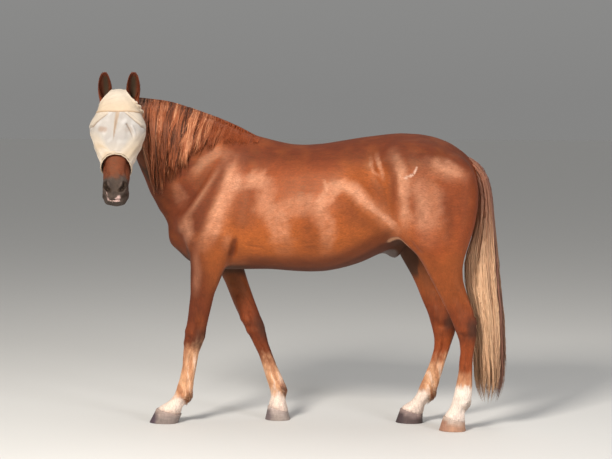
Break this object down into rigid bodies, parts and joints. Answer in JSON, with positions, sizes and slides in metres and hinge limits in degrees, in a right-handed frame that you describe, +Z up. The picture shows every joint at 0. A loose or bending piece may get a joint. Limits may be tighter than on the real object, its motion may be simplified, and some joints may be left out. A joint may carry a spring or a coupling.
{
  "type": "horse",
  "caption": "Life-size still model of a chestnut horse standing with its head turned to its left, wearing a fly mask.",
  "frame": {"origin": "middle of the underside of the whole model's bounding box, on the floor under the hooves", "axes": "the horse faces -X with its left side toward -Y, and +Z is up"},
  "size_m": [2.1528, 0.8954, 1.8922],
  "materials": {
    "coat": "sleek short glossy chestnut coat",
    "hoof_horn": "dull horn with growth rings",
    "eye": "wet dark brown eye",
    "mane_hair": "long loose chestnut hair",
    "tail_hair": "long chestnut hair with flaxen streaks",
    "mask_cream": "woven cream cloth",
    "mask_screen": "fine pale see-through netting"
  },
  "bodies": {
    "root": {"head": "coat", "neck": "coat", "trunk": "coat", "hindquarters": "coat", "foreleg_left": "coat", "foreleg_right": "coat", "hindleg_left": "coat", "hindleg_right": "coat", "ear_left": "coat", "ear_right": "coat", "hoof_fore_left": "hoof_horn", "hoof_fore_right": "hoof_horn", "hoof_hind_left": "hoof_horn", "hoof_hind_right": "hoof_horn", "eye_left": "eye", "eye_right": "eye", "mane": "mane_hair", "tail_hair": "tail_hair", "mask_crown": "mask_cream", "mask_screen": "mask_screen", "mask_cheek_left": "mask_cream", "mask_cheek_right": "mask_cream", "mask_nose_hem": "mask_cream"}
  },
  "joints": []
}
